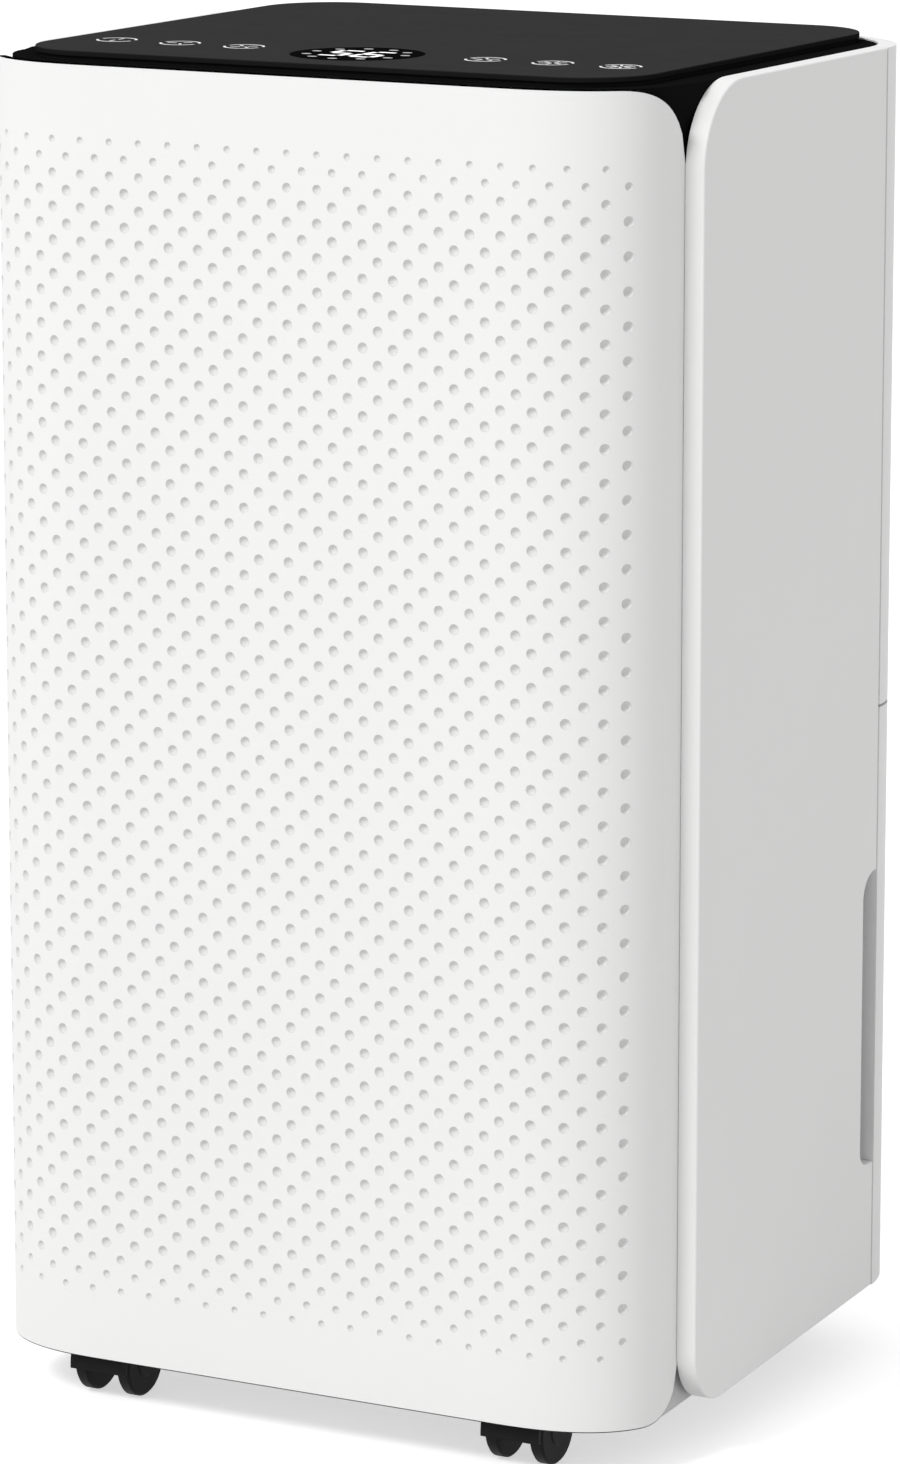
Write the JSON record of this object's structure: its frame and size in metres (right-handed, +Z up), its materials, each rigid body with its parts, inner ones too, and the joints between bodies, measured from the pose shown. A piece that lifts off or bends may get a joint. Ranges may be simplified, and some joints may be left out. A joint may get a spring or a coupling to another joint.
{
  "type": "dehumidifier",
  "caption": "Upright portable compressor dehumidifier: dotted front cover, touch panel on top, pull-out rear water tank, intake grille with filter, outlet louvre and twin-wheel casters.",
  "frame": {"origin": "centre of the base on the floor, under the middle of the cabinet's box", "axes": "+Z up, the dotted front faces -Y, +X to the right of someone who looks at the front"},
  "size_m": [0.284, 0.23, 0.495],
  "materials": {
    "white_shell": "fine satin moulded ABS",
    "grey_plastic": "satin moulded plastic",
    "black_plastic": "satin moulded plastic",
    "touch_glass": "semi-gloss touch surface",
    "circuit": "solder-masked board",
    "copper_tube": "drawn copper",
    "aluminium_fin": "rolled fin stock",
    "zinc_steel": "zinc-plated",
    "compressor_paint": "satin black paint",
    "black_rubber": "moulded rubber",
    "filter_net": "fine net in a moulded frame",
    "frosted_plastic": "frosted translucent plastic",
    "smoked_window": "smoked translucent plastic",
    "float_foam": "moulded foam",
    "caster_plastic": "satin nylon"
  },
  "bodies": {
    "cabinet": {"front_cover": "white_shell", "side_panel_left": "white_shell", "side_panel_right": "white_shell", "rear_cover": "white_shell", "outlet_louvre": "white_shell", "top_tray": "black_plastic", "touch_base": "black_plastic", "touch_glass": "touch_glass", "display_board": "circuit", "base_chassis": "grey_plastic", "inner_frame": "grey_plastic", "tray_posts": "grey_plastic", "control_box": "grey_plastic", "control_box_lid": "grey_plastic", "run_capacitor": "aluminium_fin", "humidity_sensor": "white_shell", "fan_volute": "grey_plastic", "outlet_duct": "grey_plastic", "motor_bracket": "zinc_steel", "fan_motor": "zinc_steel", "evaporator": "aluminium_fin", "condenser": "aluminium_fin", "drip_tray": "grey_plastic", "refrigerant_pipes": "copper_tube", "capillary_tube": "copper_tube", "filter_drier": "copper_tube", "compressor": "compressor_paint", "terminal_cover": "black_plastic", "compressor_grommets": "black_rubber", "compressor_bolts": "zinc_steel", "tank_sensor": "black_plastic", "cord_gland": "black_rubber", "cover_screws": "zinc_steel"},
    "fan": {"fan_rotor": "grey_plastic", "fan_shaft": "zinc_steel"},
    "drain_plug": {"drain_plug": "black_rubber"},
    "filter": {"intake_grille": "white_shell", "filter_screen": "filter_net"},
    "tank": {"water_tank": "frosted_plastic", "tank_shell": "white_shell", "tank_lid": "frosted_plastic", "level_window": "smoked_window"},
    "float": {"tank_float": "float_foam", "float_magnet": "zinc_steel"},
    "caster_front_left": {"caster_fork_front_left": "caster_plastic"},
    "wheels_front_left": {"caster_wheels_front_left": "caster_plastic"},
    "caster_front_right": {"caster_fork_front_right": "caster_plastic"},
    "wheels_front_right": {"caster_wheels_front_right": "caster_plastic"},
    "caster_rear_left": {"caster_fork_rear_left": "caster_plastic"},
    "wheels_rear_left": {"caster_wheels_rear_left": "caster_plastic"},
    "caster_rear_right": {"caster_fork_rear_right": "caster_plastic"},
    "wheels_rear_right": {"caster_wheels_rear_right": "caster_plastic"}
  },
  "joints": [
    {"name": "tank_slide", "type": "slide", "parent": "cabinet", "child": "tank", "axis": [0, 1, 0], "range_m": [0, 0.16]},
    {"name": "float_hinge", "type": "hinge", "parent": "tank", "child": "float", "pos_m": [-0.0835, 0.028, 0.224], "axis": [1, 0, 0], "range_deg": [0, 12]},
    {"name": "filter_slide", "type": "slide", "parent": "cabinet", "child": "filter", "axis": [0, 1, 0], "range_m": [0, 0.03]},
    {"name": "drain_plug_pull", "type": "slide", "parent": "cabinet", "child": "drain_plug", "axis": [0, 1, 0], "range_m": [0, 0.03]},
    {"name": "fan_spin", "type": "hinge", "parent": "cabinet", "child": "fan", "pos_m": [0, 0.02, 0.344], "axis": [0, 1, 0], "continuous": true},
    {"name": "swivel_front_left", "type": "hinge", "parent": "cabinet", "child": "caster_front_left", "pos_m": [-0.0856, -0.0895, 0.03], "axis": [0, 0, 1], "continuous": true},
    {"name": "roll_front_left", "type": "hinge", "parent": "caster_front_left", "child": "wheels_front_left", "pos_m": [-0.0856, -0.0945, 0.0125], "axis": [1, 0, 0], "continuous": true},
    {"name": "swivel_front_right", "type": "hinge", "parent": "cabinet", "child": "caster_front_right", "pos_m": [0.0856, -0.0895, 0.03], "axis": [0, 0, 1], "continuous": true},
    {"name": "roll_front_right", "type": "hinge", "parent": "caster_front_right", "child": "wheels_front_right", "pos_m": [0.0856, -0.0945, 0.0125], "axis": [1, 0, 0], "continuous": true},
    {"name": "swivel_rear_left", "type": "hinge", "parent": "cabinet", "child": "caster_rear_left", "pos_m": [-0.0856, 0.086, 0.03], "axis": [0, 0, 1], "continuous": true},
    {"name": "roll_rear_left", "type": "hinge", "parent": "caster_rear_left", "child": "wheels_rear_left", "pos_m": [-0.0856, 0.081, 0.0125], "axis": [1, 0, 0], "continuous": true},
    {"name": "swivel_rear_right", "type": "hinge", "parent": "cabinet", "child": "caster_rear_right", "pos_m": [0.0856, 0.086, 0.03], "axis": [0, 0, 1], "continuous": true},
    {"name": "roll_rear_right", "type": "hinge", "parent": "caster_rear_right", "child": "wheels_rear_right", "pos_m": [0.0856, 0.081, 0.0125], "axis": [1, 0, 0], "continuous": true}
  ]
}
